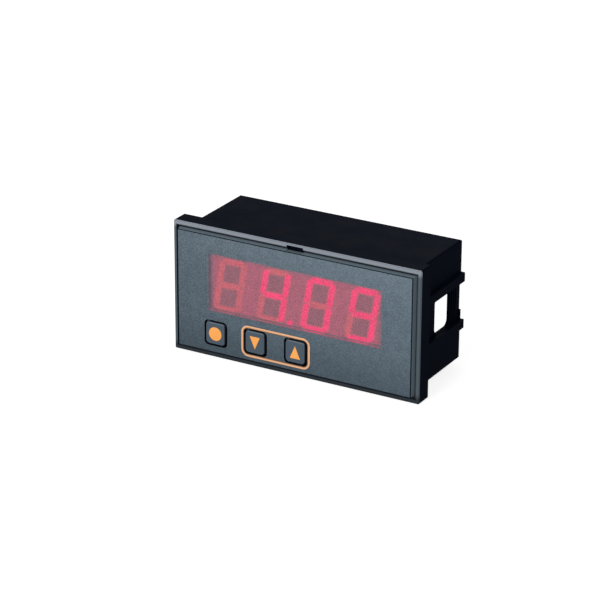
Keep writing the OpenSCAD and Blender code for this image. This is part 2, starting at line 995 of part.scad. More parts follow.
module filter_capacitor() {
    r = capacitor_d / 2;
    color("slategray")
        translate([r, y_main, capacitor_z])
            rotate([90, 0, 0])
                rotate_extrude()
                    polygon([
                        [0, 0],
                        [r, 0],
                        [r, 2 * capacitor_bead],
                        [r - capacitor_bead, 3 * capacitor_bead],
                        [r, 4 * capacitor_bead],
                        [r, capacitor_len - capacitor_bead],
                        [r - capacitor_bead, capacitor_len],
                        [0, capacitor_len]
                    ]);
}

module output_relay() {
    color("steelblue")
        translate([relay_x, 0, relay_z])
            slab(y_main - relay_depth, y_main)
                round_rect(relay_w, relay_h, 0.6);
}

// One terminal block about x = 0: a stepped body with a wire funnel and a screw hole each way.
module terminal_block() {
    color([0.16, 0.32, 0.24])
        difference() {
            across(-block_w / 2, block_w / 2)
                polygon([
                    [y_main_rear, -block_h / 2],
                    [y_block_rear - block_step, -block_h / 2],
                    [y_block_rear, block_step - block_h / 2],
                    [y_block_rear, block_h / 2 - block_step],
                    [y_block_rear - block_step, block_h / 2],
                    [y_main_rear, block_h / 2]
                ]);
            at_ways() {
                translate([0, 0, funnel_z])
                    slab(y_block_rear - funnel_depth, y_block_rear + over)
                        square([funnel_w, funnel_h], center = true);
                translate([0, 0, driver_z])
                    bar(driver_d, y_block_rear - driver_depth, y_block_rear + over);
            }
        }
}

// Round pins of all terminals, or with a larger d the holes for them.
module terminal_pin_set(d, y0, y1) {
    at_terminals()
        translate([0, 0, terminal_pin_z])
            bar(d, y0, y1);
}

module terminal_pins() {
    color(metal)
        terminal_pin_set(terminal_pin_d, y_main - pin_tail, y_main_rear);
}

module terminal_screws() {
    head = driver_d - 4 * pin_gap;
    y0 = y_block_rear - driver_depth;
    color(metal)
        at_terminals()
            translate([0, 0, driver_z])
                difference() {
                    bar(head, y0, y0 + terminal_screw_len);
                    translate([-head, y0 + terminal_screw_len / 2, -slot_w / 2])
                        cube([2 * head, terminal_screw_len, slot_w]);
                }
}

module terminal_clamps() {
    w = funnel_w - 2 * pin_gap;
    h = funnel_h - 2 * pin_gap;
    y0 = y_block_rear - funnel_depth;
    color(metal)
        at_terminals()
            translate([0, 0, funnel_z])
                slab(y0, y0 + clamp_len)
                    difference() {
                        square([w, h], center = true);
                        square([w - 2 * clamp_wall, h - 2 * clamp_wall], center = true);
                    }
}

// Cover that closes the pack: a flange, a box with the terminal opening, sleeves and bosses.
module rear_cover() {
    color(moulding) {
        difference() {
            union() {
                slab(y_cover, y_cover + cover_flange_t)
                    round_rect(flange_w, flange_h, 2);
                slab(y_cover, y_box_rear)
                    round_rect(box_w, cover_h, 1);
            }
            slab(y_cover - over, y_box_wall)
                square([box_in_w, box_in_h], center = true);
            slab(y_box_wall - over, y_box_rear + over)
                square([cut_w, cut_h], center = true);
            at_corners(post_x, post_z)
                bar(screw_d + 2 * loose, y_cover - over, y_cover + cover_flange_t + over);
            vents();
        }
        at_corners(post_x, post_z)
            slab(y_board_rear, y_cover + root)
                difference() {
                    circle(d = sleeve_d);
                    circle(d = post_pin_d + 2 * pin_gap);
                }
        at_corners(boss_x, boss_z)
            difference() {
                bar(boss_d, y_main_rear, y_box_wall + root);
                bar(screw_d + 2 * thread_gap, y_main_rear - over, y_main_rear + screw_len);
            }
    }
}

// Slots through the top and bottom of the cover's box.
module vents() {
    count = 7;
    pitch = 5;
    w = 1.6;
    margin = 3;
    len = y_box_wall - y_cover - cover_flange_t - 2 * margin;
    for (k = [0 : count - 1])
        translate([(k - (count - 1) / 2) * pitch - w / 2, y_cover + cover_flange_t + margin, -cover_h])
            cube([w, len, 2 * cover_h]);
}

// ---- Nodes -----------------------------------------------------------------------------

case();
fascia();
front_label();
display_filter();
key_outline();
key_cap(0);  // key_cap_set
key_cap(1);  // key_cap_down
key_cap(2);  // key_cap_up
key_icon(0);  // key_icon_set
key_icon(1);  // key_icon_down
key_icon(2);  // key_icon_up
switch_body(0);  // switch_body_set
switch_body(1);  // switch_body_down
switch_body(2);  // switch_body_up
switch_plunger(0);  // switch_plunger_set
switch_plunger(1);  // switch_plunger_down
switch_plunger(2);  // switch_plunger_up
digit_housing(0);  // digit_1_housing
digit_housing(1);  // digit_2_housing
digit_housing(2);  // digit_3_housing
digit_housing(3);  // digit_4_housing
digit_segments(0, false);  // digit_1_dark_segments
digit_segments(1, false);  // digit_2_dark_segments
digit_segments(2, false);  // digit_3_dark_segments
digit_segments(3, false);  // digit_4_dark_segments
digit_segments(1, true);  // digit_2_lit_segments
digit_segments(2, true);  // digit_3_lit_segments
digit_segments(3, true);  // digit_4_lit_segments
digit_pins();
display_board();
controller_chip();
link_header();
link_pins();
link_socket();
main_board();
board_screws();
power_transformer();
filter_capacitor();
output_relay();
translate([-block_x, 0, 0]) terminal_block();  // terminal_block_left
translate([block_x, 0, 0]) terminal_block();  // terminal_block_right
terminal_pins();
terminal_screws();
terminal_clamps();
rear_cover();
cover_screws();
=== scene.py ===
import json
import logging
import math
from dataclasses import dataclass, field
from enum import Enum
from typing import Callable, Iterable, Sequence

import bmesh
import bpy
from mathutils import Matrix, Vector


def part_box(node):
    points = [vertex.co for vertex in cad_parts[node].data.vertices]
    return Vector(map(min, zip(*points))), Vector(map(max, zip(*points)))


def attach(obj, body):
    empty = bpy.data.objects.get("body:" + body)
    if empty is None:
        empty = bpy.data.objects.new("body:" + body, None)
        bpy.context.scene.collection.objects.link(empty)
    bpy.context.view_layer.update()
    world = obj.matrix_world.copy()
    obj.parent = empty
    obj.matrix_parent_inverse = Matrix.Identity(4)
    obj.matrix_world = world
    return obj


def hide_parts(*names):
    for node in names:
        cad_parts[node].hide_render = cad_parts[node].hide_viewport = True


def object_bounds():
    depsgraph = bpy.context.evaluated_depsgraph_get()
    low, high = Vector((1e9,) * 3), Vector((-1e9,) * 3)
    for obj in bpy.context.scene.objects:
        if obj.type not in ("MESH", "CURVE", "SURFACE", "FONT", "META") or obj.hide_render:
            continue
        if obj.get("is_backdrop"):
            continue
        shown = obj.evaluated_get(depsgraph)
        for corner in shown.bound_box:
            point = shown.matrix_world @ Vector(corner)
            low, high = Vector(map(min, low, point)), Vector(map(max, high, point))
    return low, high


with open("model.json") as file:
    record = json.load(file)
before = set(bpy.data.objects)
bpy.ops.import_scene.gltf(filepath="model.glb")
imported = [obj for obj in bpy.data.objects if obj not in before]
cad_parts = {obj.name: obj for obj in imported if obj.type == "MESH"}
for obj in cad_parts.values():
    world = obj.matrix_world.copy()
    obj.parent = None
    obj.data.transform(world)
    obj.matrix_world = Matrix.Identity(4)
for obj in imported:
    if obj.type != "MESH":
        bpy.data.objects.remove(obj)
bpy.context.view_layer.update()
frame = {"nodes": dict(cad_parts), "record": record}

LOG = logging.getLogger("panel_meter")
MM = 0.001

Colour = tuple[float, float, float]
Span = tuple[float, float]
Socket = bpy.types.NodeSocket

DARK = (0.0, 0.0, 0.0, 1.0)
WHITE = (1.0, 1.0, 1.0, 1.0)


def srgb(red: int, green: int, blue: int) -> Colour:
    """Turns a colour of 0 to 255 into the linear one that shaders use.

    Args:
        red: Red, as a display shows it.
        green: Green, as a display shows it.
        blue: Blue, as a display shows it.

    Returns:
        The linear colour, 0 to 1.
    """

    def linear(value: int) -> float:
        """Gives one linear channel."""
        v = value / 255
        return v / 12.92 if v <= 0.04045 else ((v + 0.055) / 1.055) ** 2.4

    return linear(red), linear(green), linear(blue)


def rgba(colour: Colour) -> tuple[float, float, float, float]:
    """Adds full opacity to a colour."""
    return (*colour, 1.0)


# ---- Shader effects ---------------------------------------------------------------------


class Kind(Enum):
    """Kinds of socket that a shader effect can have."""

    VALUE = "NodeSocketFloat"
    COLOUR = "NodeSocketColor"


@dataclass
class Wiring:
    """Short ways to add and join the nodes of one tree."""

    tree: bpy.types.NodeTree

    def node(self, kind: str, **settings: object) -> bpy.types.Node:
        """Adds a node.

        Args:
            kind: Blender's name for the node.
            settings: Properties of the node to set.

        Returns:
            The new node.
        """
        made = self.tree.nodes.new(kind)
        for key, value in settings.items():
            setattr(made, key, value)
        return made

    def feed(self, target: Socket, value: object) -> None:
        """Joins a socket to the target, or sets the target to a plain value.

        Args:
            target: Input socket.
            value: Output socket, number, colour or vector.
        """
        if isinstance(value, bpy.types.NodeSocket):
            self.tree.links.new(value, target)
        else:
            target.default_value = value

    def math(self, operation: str, *values: object) -> Socket:
        """Adds a Math node.

        Args:
            operation: Blender's name for the operation.
            values: Its values or sockets, in the node's order.

        Returns:
            The result.
        """
        made = self.node("ShaderNodeMath", operation=operation)
        for target, value in zip(made.inputs, values):
            self.feed(target, value)
        return made.outputs[0]

    def waver(self, specks: Socket, level: float, spread: float) -> Socket:
        """Gives a level that specks raise and lower by half a spread."""
        return self.math("MULTIPLY_ADD", specks, spread, level - spread / 2)

    def mix(self, share: object, a: object, b: object, blend: str = "MIX") -> Socket:
        """Mixes two colours.

        Args:
            share: Share of the second colour.
            a: First colour or socket.
            b: Second colour or socket.
            blend: Blender's name for the way to mix.

        Returns:
            The mixed colour.
        """
        made = self.node("ShaderNodeMix", data_type="RGBA", blend_type=blend)
        self.feed(made.inputs[0], share)
        self.feed(made.inputs[6], a)
        self.feed(made.inputs[7], b)
        return made.outputs[2]

    def place(self) -> Socket:
        """Gives the place on the object, in metres."""
        return self.node("ShaderNodeTexCoord").outputs["Object"]

    def axis(self, vector: Socket, name: str) -> Socket:
        """Gives the X, Y or Z part of a vector."""
        made = self.node("ShaderNodeSeparateXYZ")
        self.feed(made.inputs[0], vector)
        return made.outputs[name]

    def ramp(self, value: Socket, low: object, high: object) -> Socket:
        """Gives how far a value has gone from low to high, smoothly, from 0 to 1.

        Args:
            value: The value.
            low: Value that gives 0.
            high: Value that gives 1.

        Returns:
            The share.
        """
        made = self.node("ShaderNodeMapRange", interpolation_type="SMOOTHSTEP")
        self.feed(made.inputs["Value"], value)
        self.feed(made.inputs["From Min"], low)
        self.feed(made.inputs["From Max"], high)
        return made.outputs["Result"]

    def noise(
        self, size: Socket, detail: float, clouds: float = 1.0, place: Socket | None = None
    ) -> Socket:
        """Gives cloudy noise.

        Args:
            size: A length in metres.
            detail: Number of finer layers.
            clouds: Clouds in that length.
            place: Where the noise is read, or nothing for the place on the object.

        Returns:
            The noise, about 0.5 on average.
        """
        made = self.node("ShaderNodeTexNoise")
        self.feed(made.inputs["Vector"], self.place() if place is None else place)
        self.feed(made.inputs["Scale"], self.math("DIVIDE", clouds, size))
        made.inputs["Detail"].default_value = detail
        return made.outputs["Fac"]


@dataclass
class Effect:
    """A shader node group with named inputs and outputs, built once for all materials."""

    name: str
    inputs: dict[str, tuple[Kind, object]]
    outputs: dict[str, Kind]
    draw: Callable[[Wiring, dict[str, Socket]], dict[str, Socket]]
    tree: bpy.types.NodeTree | None = field(default=None, init=False)

    def build(self) -> bpy.types.NodeTree:
        """Makes the group, or gives the one that is there.

        Returns:
            The group's node tree.
        """
        if self.tree is None:
            tree = bpy.data.node_groups.new(self.name, "ShaderNodeTree")
            for label, (kind, start) in self.inputs.items():
                made = tree.interface.new_socket(label, in_out="INPUT", socket_type=kind.value)
                made.default_value = start
            for label, kind in self.outputs.items():
                tree.interface.new_socket(label, in_out="OUTPUT", socket_type=kind.value)
            wiring = Wiring(tree)
            entry = wiring.node("NodeGroupInput")
            leave = wiring.node("NodeGroupOutput")
            results = self.draw(wiring, {s.name: s for s in entry.outputs if s.name})
            for label, socket in results.items():
                tree.links.new(socket, leave.inputs[label])
            self.tree = tree
        return self.tree

    def use(self, wiring: Wiring, **values: object) -> dict[str, Socket]:
        """Places the group in a material.

        Args:
            wiring: The material's wiring.
            values: Inputs by name, with _ for a space.

        Returns:
            The group's outputs by name.
        """
        made = wiring.node("ShaderNodeGroup", node_tree=self.build())
        for label, value in values.items():
            wiring.feed(made.inputs[label.replace("_", " ")], value)
        return {s.name: s for s in made.outputs}


GRAIN_SPAN: Span = (0.36, 0.64)
CLOUD_SPAN: Span = (0.35, 0.65)
SPECK_SPAN: Span = (0.3, 0.7)
FINE_SHARE = 0.8
COARSE_CLOUDS = 0.22


def draw_grain(w: Wiring, given: dict[str, Socket]) -> dict[str, Socket]:
    """Draws the fine grain of moulded plastic and film.

    Args:
        w: The group's wiring.
        given: The group's inputs.

    Returns:
        Height for a bump, and a mask of lighter specks.
    """
    fine = w.math("MULTIPLY", w.noise(given["Size"], detail=3.0), FINE_SHARE)
    coarse = w.noise(given["Size"], detail=2.0, clouds=COARSE_CLOUDS)
    height = w.math("ADD", fine, w.math("MULTIPLY", coarse, 1 - FINE_SHARE))
    return {"Height": height, "Specks": w.ramp(height, *GRAIN_SPAN)}


def draw_drift(w: Wiring, given: dict[str, Socket]) -> dict[str, Socket]:
    """Draws a slow drift from one colour to another, with fine specks.

    Args:
        w: The group's wiring.
        given: The group's inputs.

    Returns:
        The colour.
    """
    clouds = w.ramp(w.noise(given["Size"], detail=4.0), *CLOUD_SPAN)
    specks = w.ramp(w.noise(given["Speck Size"], detail=2.0), *SPECK_SPAN)
    share = w.math("ADD", w.math("MULTIPLY", clouds, 0.5), w.math("MULTIPLY", specks, 0.5))
    return {"Color": w.mix(share, given["Color"], given["Other"])}


def draw_height_tone(w: Wiring, given: dict[str, Socket]) -> dict[str, Socket]:
    """Draws painted light that goes from low to middle to high with the height on the front.

    Args:
        w: The group's wiring.
        given: The group's inputs.

    Returns:
        The colour.
    """
    z = w.axis(w.place(), "Z")
    lower = w.mix(w.ramp(z, given["Bottom"], given["Lower"]), given["Low"], given["Mid"])
    return {"Color": w.mix(w.ramp(z, given["Upper"], given["Top"]), lower, given["High"])}


def draw_front_mask(w: Wiring, given: dict[str, Socket]) -> dict[str, Socket]:
    """Marks the surfaces that face a light before the meter and lie in front of a depth.

    Args:
        w: The group's wiring.
        given: The group's inputs.

    Returns:
        The mask.
    """
    coords = w.node("ShaderNodeTexCoord")
    normal = coords.outputs["Normal"]
    sideways = w.math("MULTIPLY", w.axis(normal, "X"), given["Right"])
    upwards = w.math("MULTIPLY", w.axis(normal, "Z"), given["Up"])
    aside = w.math("ADD", sideways, upwards)
    facing = w.ramp(
        w.math("SUBTRACT", aside, w.axis(normal, "Y")), given["Start"], given["End"]
    )
    near = w.math("LESS_THAN", w.axis(coords.outputs["Object"], "Y"), given["Depth"])
    return {"Mask": w.math("MULTIPLY", facing, near)}


FORWARD_SPAN: Span = (0.0, -0.4)


def draw_fillet_light(w: Wiring, given: dict[str, Socket]) -> dict[str, Socket]:
    """Marks the rounded edges that face both forwards and upwards, where a highlight is painted.

    Args:
        w: The group's wiring.
        given: The group's inputs.

    Returns:
        The mask.
    """
    normal = w.node("ShaderNodeTexCoord").outputs["Normal"]
    upwards = w.ramp(w.axis(normal, "Z"), given["Start"], given["End"])
    forwards = w.ramp(w.axis(normal, "Y"), *FORWARD_SPAN)
    return {"Mask": w.math("MULTIPLY", upwards, forwards)}


def draw_rectangle(w: Wiring, given: dict[str, Socket]) -> dict[str, Socket]:
    """Marks the inside of a rectangle seen from the front, with a soft border.

    Args:
        w: The group's wiring.
        given: The group's inputs.

    Returns:
        The mask, 1 well inside the rectangle.
    """
    place = w.place()
    across = w.math("ABSOLUTE", w.math("SUBTRACT", w.axis(place, "X"), given["Middle"]))
    up = w.math("ABSOLUTE", w.math("SUBTRACT", w.axis(place, "Z"), given["Centre"]))
    side = w.ramp(w.math("SUBTRACT", given["Half Width"], across), 0.0, given["Side Fade"])
    ends = w.ramp(w.math("SUBTRACT", given["Half Height"], up), 0.0, given["End Fade"])
    return {"Mask": w.math("MULTIPLY", side, ends)}


def draw_ring_edge(w: Wiring, given: dict[str, Socket]) -> dict[str, Socket]:
    """Marks a printed ring with rounded corners.

    Args:
        w: The group's wiring.
        given: The group's inputs.

    Returns:
        A mask of the ring and its neighbourhood, and a painted shade mask, 1 at its inner edge.
    """
    place = w.place()
    reach = []
    for name, middle, half in (("X", "Middle", "Half Width"), ("Z", "Centre", "Half Height")):
        away = w.math("ABSOLUTE", w.math("SUBTRACT", w.axis(place, name), given[middle]))
        corner = w.math("SUBTRACT", given[half], given["Radius"])
        reach.append(w.math("SUBTRACT", away, corner))
    squares = []
    for part in reach:
        outer = w.math("MAXIMUM", part, 0.0)
        squares.append(w.math("MULTIPLY", outer, outer))
    rounded = w.math("SQRT", w.math("ADD", squares[0], squares[1]))
    flat = w.math("MINIMUM", w.math("MAXIMUM", reach[0], reach[1]), 0.0)
    off = w.math("SUBTRACT", w.math("ADD", rounded, flat), given["Radius"])
    near = w.math("LESS_THAN", w.math("ABSOLUTE", off), given["Reach"])
    return {"Ring": near, "Edge": w.ramp(off, given["Fade"], 0.0)}


TRACK_WIDTH = 0.06
TRACK_BLUR = 0.2
TRACK_OFFSET = 0.37
TRACK_SQUASH = 1.6
TRACK_SQUASH_EVERY = 3


def draw_tracks(w: Wiring, given: dict[str, Socket]) -> dict[str, Socket]:
    """Draws the copper tracks that show through a board's green lacquer.

    Args:
        w: The group's wiring.
        given: The group's inputs.

    Returns:
        The mask of the tracks.
    """
    place = w.place()
    flat = w.node("ShaderNodeCombineXYZ")
    w.feed(flat.inputs["X"], w.axis(place, "X"))
    w.feed(flat.inputs["Y"], w.axis(place, "Z"))
    bricks = w.node("ShaderNodeTexBrick", offset=TRACK_OFFSET, squash=TRACK_SQUASH)
    bricks.squash_frequency = TRACK_SQUASH_EVERY
    w.feed(bricks.inputs["Vector"], flat.outputs[0])
    w.feed(bricks.inputs["Scale"], w.math("DIVIDE", 1.0, given["Pitch"]))
    bricks.inputs["Mortar Size"].default_value = TRACK_WIDTH
    bricks.inputs["Mortar Smooth"].default_value = TRACK_BLUR
    return {"Mask": bricks.outputs["Fac"]}


LINE_STRETCH = (1.0, 0.12, 1.0)
LINE_ROUGHNESS = 0.18


def draw_brushed(w: Wiring, given: dict[str, Socket]) -> dict[str, Socket]:
    """Draws fine drawn lines along the depth of a metal part.

    Args:
        w: The group's wiring.
        given: The group's inputs.

    Returns:
        The lines as a height, and a roughness that follows them.
    """
    stretch = w.node("ShaderNodeMapping")
    w.feed(stretch.inputs["Vector"], w.place())
    stretch.inputs["Scale"].default_value = LINE_STRETCH
    lines = w.noise(given["Size"], detail=3.0, place=stretch.outputs[0])
    rough = w.math("ADD", given["Roughness"], w.math("MULTIPLY", lines, LINE_ROUGHNESS))
    return {"Height": lines, "Roughness": rough}


GRAIN = Effect(
    "moulded grain",
    {"Size": (Kind.VALUE, 0.3 * MM)},
    {"Height": Kind.VALUE, "Specks": Kind.VALUE},
    draw_grain,
)
DRIFT = Effect(
    "colour drift",
    {
        "Color": (Kind.COLOUR, (0.5, 0.5, 0.5, 1)),
        "Other": (Kind.COLOUR, (0.5, 0.5, 0.5, 1)),
        "Size": (Kind.VALUE, 9 * MM),
        "Speck Size": (Kind.VALUE, 0.5 * MM),
    },
    {"Color": Kind.COLOUR},
    draw_drift,
)
HEIGHT_TONE = Effect(
    "tone by height",
    {
        "Low": (Kind.COLOUR, (0.1, 0.1, 0.1, 1)),
        "Mid": (Kind.COLOUR, (0.1, 0.1, 0.1, 1)),
        "High": (Kind.COLOUR, (0.1, 0.1, 0.1, 1)),
        "Bottom": (Kind.VALUE, -22 * MM),
        "Lower": (Kind.VALUE, -10 * MM),
        "Upper": (Kind.VALUE, 10 * MM),
        "Top": (Kind.VALUE, 22 * MM),
    },
    {"Color": Kind.COLOUR},
    draw_height_tone,
)
FRONT_MASK = Effect(
    "front faces",
    {
        "Depth": (Kind.VALUE, -5 * MM),
        "Right": (Kind.VALUE, 0.0),
        "Up": (Kind.VALUE, 0.0),
        "Start": (Kind.VALUE, 0.8),
        "End": (Kind.VALUE, 0.95),
    },
    {"Mask": Kind.VALUE},
    draw_front_mask,
)
FILLET_LIGHT = Effect(
    "fillet light",
    {"Start": (Kind.VALUE, 0.3), "End": (Kind.VALUE, 0.7)},
    {"Mask": Kind.VALUE},
    draw_fillet_light,
)
RECTANGLE = Effect(
    "soft rectangle",
    {
        "Middle": (Kind.VALUE, 0.0),
        "Centre": (Kind.VALUE, 4 * MM),
        "Half Width": (Kind.VALUE, 34 * MM),
        "Half Height": (Kind.VALUE, 11 * MM),
        "Side Fade": (Kind.VALUE, 2 * MM),
        "End Fade": (Kind.VALUE, 1 * MM),
    },
    {"Mask": Kind.VALUE},
    draw_rectangle,
)
RING_EDGE = Effect(
    "ring edge",
    {
        "Middle": (Kind.VALUE, 0.0),
        "Centre": (Kind.VALUE, 0.0),
        "Half Width": (Kind.VALUE, 12 * MM),
        "Half Height": (Kind.VALUE, 5 * MM),
        "Radius": (Kind.VALUE, 2 * MM),
        "Fade": (Kind.VALUE, 0.6 * MM),
        "Reach": (Kind.VALUE, 1.2 * MM),
    },
    {"Ring": Kind.VALUE, "Edge": Kind.VALUE},
    draw_ring_edge,
)
TRACKS = Effect("board tracks", {"Pitch": (Kind.VALUE, 2 * MM)}, {"Mask": Kind.VALUE}, draw_tracks)
BRUSHED = Effect(
    "drawn metal",
    {"Size": (Kind.VALUE, 0.2 * MM), "Roughness": (Kind.VALUE, 0.3)},
    {"Height": Kind.VALUE, "Roughness": Kind.VALUE},
    draw_brushed,
)


@dataclass(frozen=True)
class Stroke:
    """Centre line of one segment, on an upright digit about the origin."""

    u: float
    v: float
    half_width: float = 0.0
    half_height: float = 0.0


@dataclass(frozen=True)
class DigitRow:
    """The row of digits, whose light spreads a little in the diffusing window as a painted glow.

    A segment's light stops short of its neighbour's centre line by end_gap of its width. It is
    full within core of its own centre line and ends at reach.
    """

    digit_w: float = 10.7 * MM
    digit_h: float = 20 * MM
    segment: float = 2.1 * MM
    end_gap: float = 0.6
    lean: float = math.tan(math.radians(9.5))
    point: tuple[float, float] = (7.75 * MM, -8.7 * MM)
    lit: tuple[str, ...] = ("", "bcfgp", "abcdef", "abcdfg")
    # Past the segment's edge, the fade out to reach is a painted halo.
    core: float = 0.6 * MM
    reach: float = 1.75 * MM

    def middle(self, index: int) -> Vector:
        """Gives the centre of a digit's housing."""
        low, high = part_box(f"digit_{index + 1}_housing")
        return (low + high) / 2

    def stroke(self, letter: str) -> Stroke:
        """Gives the centre line of a segment.

        Args:
            letter: The segment's letter, or p for the decimal point.

        Returns:
            The centre line.
        """
        u = (self.digit_w - self.segment) / 2
        v = (self.digit_h - self.segment) / 2
        flat = u - self.segment * self.end_gap
        tall = v / 2 - self.segment * self.end_gap
        strokes = {
            "a": Stroke(0, v, half_width=flat),
            "b": Stroke(u, v / 2, half_height=tall),
            "c": Stroke(u, -v / 2, half_height=tall),
            "d": Stroke(0, -v, half_width=flat),
            "e": Stroke(-u, -v / 2, half_height=tall),
            "f": Stroke(-u, v / 2, half_height=tall),
            "g": Stroke(0, 0, half_width=flat),
            "p": Stroke(*self.point),
        }
        return strokes[letter]

    def light(self, w: Wiring, u: Socket, v: Socket, letters: str) -> Socket:
        """Gives the light of some segments at a place.

        Args:
            w: The group's wiring.
            u: Distance to the right of the digit's middle, with the lean taken out.
            v: Height above the digit's middle.
            letters: Letters of the segments.

        Returns:
            The light, 1 on a centre line.
        """
        best = None
        for letter in letters:
            stroke = self.stroke(letter)
            du = w.math("ABSOLUTE", w.math("SUBTRACT", u, stroke.u))
            dv = w.math("ABSOLUTE", w.math("SUBTRACT", v, stroke.v))
            du = w.math("MAXIMUM", w.math("SUBTRACT", du, stroke.half_width), 0.0)
            dv = w.math("MAXIMUM", w.math("SUBTRACT", dv, stroke.half_height), 0.0)
            square = w.math("ADD", w.math("MULTIPLY", du, du), w.math("MULTIPLY", dv, dv))
            best = square if best is None else w.math("MINIMUM", best, square)
        return w.ramp(w.math("SQRT", best), self.reach, self.core)

    def draw(self, w: Wiring, given: dict[str, Socket]) -> dict[str, Socket]:
        """Draws the light of the lit segments, of all segments, and the gaps between digits.

        Args:
            w: The group's wiring.
            given: The group's inputs.

        Returns:
            The three masks.
        """
        place = w.place()
        middles = [self.middle(i) for i in range(len(self.lit))]
        pitch = middles[1].x - middles[0].x
        z = w.math("SUBTRACT", w.axis(place, "Z"), given["Height"])
        x = w.math("SUBTRACT", w.axis(place, "X"), w.math("MULTIPLY", z, self.lean))
        steps = w.math("DIVIDE", w.math("SUBTRACT", x, middles[0].x - pitch / 2), pitch)
        inside = w.math("SUBTRACT", w.math("FRACT", steps), 0.5)
        every = self.light(w, w.math("MULTIPLY", inside, pitch), z, "abcdefg")
        lit = None
        for middle, letters in zip(middles, self.lit):
            if letters:
                light = self.light(w, w.math("SUBTRACT", x, middle.x), z, letters)
                lit = light if lit is None else w.math("MAXIMUM", lit, light)
        off_centre = w.math("MULTIPLY", w.math("ABSOLUTE", inside), pitch)
        between = w.ramp(off_centre, self.digit_w / 2 - self.segment, self.digit_w / 2)
        return {"Lit": lit, "Every": every, "Between": between}

    def effect(self) -> Effect:
        """Makes the row's shader group."""
        return Effect(
            "digit light",
            {"Height": (Kind.VALUE, self.middle(0).z)},
            {"Lit": Kind.VALUE, "Every": Kind.VALUE, "Between": Kind.VALUE},
            self.draw,
        )


DIGIT_LIGHT = DigitRow().effect()


# ---- Finishes ---------------------------------------------------------------------------


@dataclass(frozen=True)
class Rectangle:
    """A rectangle on the front of the meter, with a border that fades inwards."""

    half_width: float
    half_height: float
    middle: float = 0.0
    centre: float = 0.0
    side_fade: float = 0.05 * MM
    end_fade: float = 0.05 * MM

    def mask(self, w: Wiring) -> Socket:
        """Marks what lies inside."""
        return RECTANGLE.use(
            w,
            Middle=self.middle,
            Centre=self.centre,
            Half_Width=self.half_width,
            Half_Height=self.half_height,
            Side_Fade=self.side_fade,
            End_Fade=self.end_fade,
        )["Mask"]


@dataclass(frozen=True)
class Finish:
    """A plain moulded or cast finish, and the base of all others."""

    name: str
    colour: Colour
    other: Colour
    roughness: float = 0.5
    specular: float = 0.4
    metallic: float = 0.0
    drift_size: float = 9 * MM
    speck_size: float = 0.5 * MM
    grain_size: float = 0.3 * MM
    grain_depth: float = 0.02 * MM
    rough_spread: float = 0.08

    def paint(self, w: Wiring) -> Socket:
        """Gives the colour over the surface."""
        return DRIFT.use(
            w,
            Color=rgba(self.colour),
            Other=rgba(self.other),
            Size=self.drift_size,
            Speck_Size=self.speck_size,
        )["Color"]

    def specks(self, w: Wiring) -> Socket:
        """Marks the lighter specks of the surface."""
        return GRAIN.use(w, Size=self.speck_size)["Specks"]

    def relief(self, w: Wiring) -> Socket:
        """Gives the height over the surface."""
        return GRAIN.use(w, Size=self.grain_size)["Height"]

    def dress(self, w: Wiring, shader: bpy.types.Node) -> None:
        """Sets what this finish adds to the shader; a plain one adds nothing."""

    def build(self) -> bpy.types.Material:
        """Makes the material.

        Returns:
            The material, with its colour, roughness and bump from nodes.
        """
        material = bpy.data.materials.new(self.name)
        material.use_nodes = True
        w = Wiring(material.node_tree)
        shader = material.node_tree.nodes["Principled BSDF"]
        w.feed(shader.inputs["Base Color"], self.paint(w))
        shader.inputs["Metallic"].default_value = self.metallic
        shader.inputs["Specular IOR Level"].default_value = self.specular
        clouds = GRAIN.use(w, Size=self.drift_size)["Specks"]
        rough = w.waver(clouds, self.roughness, self.rough_spread)
        w.feed(shader.inputs["Roughness"], rough)
        bump = w.node("ShaderNodeBump")
        bump.inputs["Strength"].default_value = 1.0
        bump.inputs["Distance"].default_value = self.grain_depth
        w.feed(bump.inputs["Height"], self.relief(w))
        w.feed(shader.inputs["Normal"], bump.outputs["Normal"])
        self.dress(w, shader)
        LOG.info("finish %s", self.name)
        return material


@dataclass(frozen=True)
class FrontLitMoulding(Finish):
    """Black moulding whose front faces carry a painted grey sheen, lighter towards the top.

    The sheen grows over the span of how far a face turns to the light, which right and up move
    away from straight ahead. It ends at the depth.
    """

    # Painted sheen colours, from the bottom of the front to its top.
    low: Colour = srgb(50, 55, 60)
    mid: Colour = srgb(84, 95, 102)
    high: Colour = srgb(140, 147, 156)
    bottom: float = -22.8 * MM
    lower: float = -20 * MM
    upper: float = 21 * MM
    top: float = 23 * MM
    depth: float = -5 * MM
    right: float = 0.0
    up: float = 0.0
    span: Span = (0.8, 0.95)

    def tone(self, w: Wiring) -> object:
        """Gives the painted sheen's colour by height, as a socket or a plain value."""
        return HEIGHT_TONE.use(
            w,
            Low=rgba(self.low),
            Mid=rgba(self.mid),
            High=rgba(self.high),
            Bottom=self.bottom,
            Lower=self.lower,
            Upper=self.upper,
            Top=self.top,
        )["Color"]

    def mask(self, w: Wiring) -> Socket:
        """Marks where the painted sheen lies."""
        start, end = self.span
        return FRONT_MASK.use(
            w, Depth=self.depth, Right=self.right, Up=self.up, Start=start, End=end
        )["Mask"]

    def paint(self, w: Wiring) -> Socket:
        """Gives the black of the moulding, and the painted sheen on its front faces."""
        return w.mix(self.mask(w), super().paint(w), self.tone(w))


@dataclass(frozen=True)
class EdgeLitMoulding(FrontLitMoulding):
    """Moulding with a painted front sheen and a rule of its own for what lies outside a rectangle.
    """

    colour: Colour = srgb(10, 15, 26)
    other: Colour = srgb(13, 19, 31)
    inner: Rectangle = Rectangle(47.75 * MM, 23.75 * MM)

    def outside(self, w: Wiring) -> Socket:
        """Marks what lies outside the rectangle."""
        return w.math("SUBTRACT", 1.0, self.inner.mask(w))


